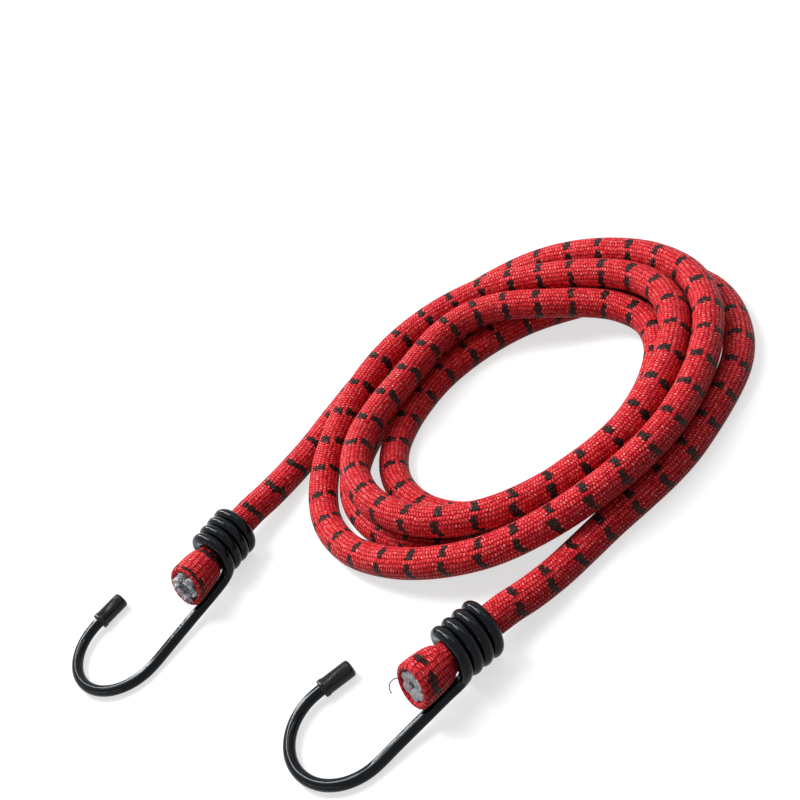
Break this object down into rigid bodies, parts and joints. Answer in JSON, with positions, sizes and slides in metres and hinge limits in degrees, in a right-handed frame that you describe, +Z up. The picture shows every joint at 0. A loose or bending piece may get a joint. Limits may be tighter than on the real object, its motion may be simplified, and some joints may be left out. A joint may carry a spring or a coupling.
{
  "type": "bungee cord",
  "caption": "Luggage bungee cord of braided elastic with a wound wire hook on each end, laid in a loose flat coil.",
  "frame": {"origin": "bottom centre of the whole object's box, on the surface that the coil lies on", "axes": "+Z up from the surface, +X to the right and +Y away as seen from the side that both hooks' shanks face, with the hooks towards -X"},
  "size_m": [0.2016, 0.1356, 0.0163],
  "materials": {
    "cover": "matte",
    "core": "matte",
    "wire": "gloss",
    "tip": "satin"
  },
  "bodies": {
    "coil": {"coil_cover": "cover", "coil_core": "core", "left_run_cover": "cover", "left_run_core": "core", "right_run_cover": "cover", "right_run_core": "core"},
    "left_end": {"left_end_cover": "cover", "left_hook_wire": "wire", "left_hook_tip": "tip", "left_core_thread_0": "core", "left_core_thread_1": "core", "left_core_thread_2": "core", "left_core_thread_3": "core", "left_core_thread_4": "core", "left_core_thread_5": "core", "left_core_thread_6": "core"},
    "right_end": {"right_end_cover": "cover", "right_hook_wire": "wire", "right_hook_tip": "tip", "right_core_thread_0": "core", "right_core_thread_1": "core", "right_core_thread_2": "core", "right_core_thread_3": "core", "right_core_thread_4": "core", "right_core_thread_5": "core", "right_core_thread_6": "core"}
  },
  "joints": [
    {"name": "left_stretch", "type": "slide", "parent": "coil", "child": "left_end", "axis": [-0.8704, -0.4924, 0], "range_m": [0, 0.025], "stiffness_N_per_m": 2400, "deforming": ["left_run_cover", "left_run_core"]},
    {"name": "right_stretch", "type": "slide", "parent": "coil", "child": "right_end", "axis": [-0.9744, -0.225, 0], "range_m": [0, 0.025], "stiffness_N_per_m": 2400, "deforming": ["right_run_cover", "right_run_core"]}
  ]
}
